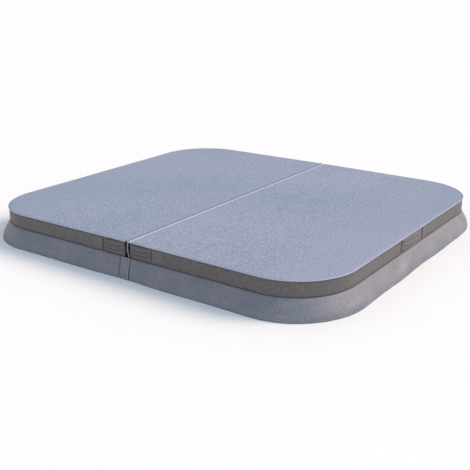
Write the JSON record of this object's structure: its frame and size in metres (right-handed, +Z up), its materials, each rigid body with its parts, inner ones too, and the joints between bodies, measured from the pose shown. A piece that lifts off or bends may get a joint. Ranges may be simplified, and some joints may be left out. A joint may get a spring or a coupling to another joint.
{
  "type": "folding spa cover",
  "caption": "Rectangular hot tub cover with rounded corners: foam panels in a vinyl jacket that fold over a sewn hinge, with a hanging skirt and strap handles.",
  "frame": {"origin": "centre of the cover's outline, at the level of the skirt's hem, on which it stands", "axes": "+X along the long side from the left half to the right half, +Y from front to rear along the fold, +Z up"},
  "size_m": [2.086, 1.886, 0.1768],
  "materials": {
    "top_vinyl": "satin",
    "skirt_vinyl": "satin",
    "band_vinyl": "satin",
    "patch_vinyl": "satin",
    "fold_wall_vinyl": "matte",
    "seal_vinyl": "satin",
    "piping": "satin",
    "foam": "matte",
    "vapour_film": "gloss",
    "galvanised_steel": "satin",
    "webbing": "matte",
    "liner": "matte",
    "eyelet_brass": "satin",
    "zip_tape": "matte",
    "zip_chain": "satin",
    "zip_metal": "satin"
  },
  "bodies": {
    "left_half": {"drain_eyelets_left": "eyelet_brass", "foam_core_left": "foam", "fold_wall_left": "fold_wall_vinyl", "front_handle_left": "band_vinyl", "handle_patches_left": "patch_vinyl", "hinge_backing_left": "webbing", "rear_handle_left": "band_vinyl", "rim_piping_left": "piping", "side_band_left": "band_vinyl", "side_handle_left": "band_vinyl", "skirt_corner_front_left": "skirt_vinyl", "skirt_corner_rear_left": "skirt_vinyl", "skirt_front_left": "skirt_vinyl", "skirt_rear_left": "skirt_vinyl", "skirt_side_left": "skirt_vinyl", "stiffener_channel_left": "galvanised_steel", "top_skin_left": "top_vinyl", "underside_liner_left": "liner", "vapour_wrap_left": "vapour_film", "zip_chain_left": "zip_chain", "zip_tape_left": "zip_tape", "front_gap_flap": "skirt_vinyl", "rear_gap_flap": "skirt_vinyl", "hinge_welt": "piping", "steam_seal": "seal_vinyl"},
    "right_half": {"drain_eyelets_right": "eyelet_brass", "foam_core_right": "foam", "fold_wall_right": "fold_wall_vinyl", "front_handle_right": "band_vinyl", "handle_patches_right": "patch_vinyl", "hinge_backing_right": "webbing", "rear_handle_right": "band_vinyl", "rim_piping_right": "piping", "side_band_right": "band_vinyl", "side_handle_right": "band_vinyl", "skirt_corner_front_right": "skirt_vinyl", "skirt_corner_rear_right": "skirt_vinyl", "skirt_front_right": "skirt_vinyl", "skirt_rear_right": "skirt_vinyl", "skirt_side_right": "skirt_vinyl", "stiffener_channel_right": "galvanised_steel", "top_skin_right": "top_vinyl", "underside_liner_right": "liner", "vapour_wrap_right": "vapour_film", "zip_chain_right": "zip_chain", "zip_tape_right": "zip_tape"},
    "left_zip_slider": {"zip_slider_left": "zip_metal"},
    "left_zip_pull": {"zip_pull_left": "zip_metal"},
    "right_zip_slider": {"zip_slider_right": "zip_metal"},
    "right_zip_pull": {"zip_pull_right": "zip_metal"}
  },
  "joints": [
    {"name": "fold_hinge", "type": "hinge", "parent": "left_half", "child": "right_half", "pos_m": [0, 0, 0.1743], "axis": [0, -1, 0], "range_deg": [0, 180]},
    {"name": "left_zip_slide", "type": "slide", "parent": "left_half", "child": "left_zip_slider", "axis": [0, 1, 0], "range_m": [0, 1.516]},
    {"name": "left_pull_swing", "type": "hinge", "parent": "left_zip_slider", "child": "left_zip_pull", "pos_m": [-0.0355, -0.758, 0.088], "axis": [1, 0, 0], "range_deg": [-80, 80]},
    {"name": "right_zip_slide", "type": "slide", "parent": "right_half", "child": "right_zip_slider", "axis": [0, 1, 0], "range_m": [0, 1.516]},
    {"name": "right_pull_swing", "type": "hinge", "parent": "right_zip_slider", "child": "right_zip_pull", "pos_m": [0.0355, -0.758, 0.088], "axis": [1, 0, 0], "range_deg": [-80, 80]}
  ]
}
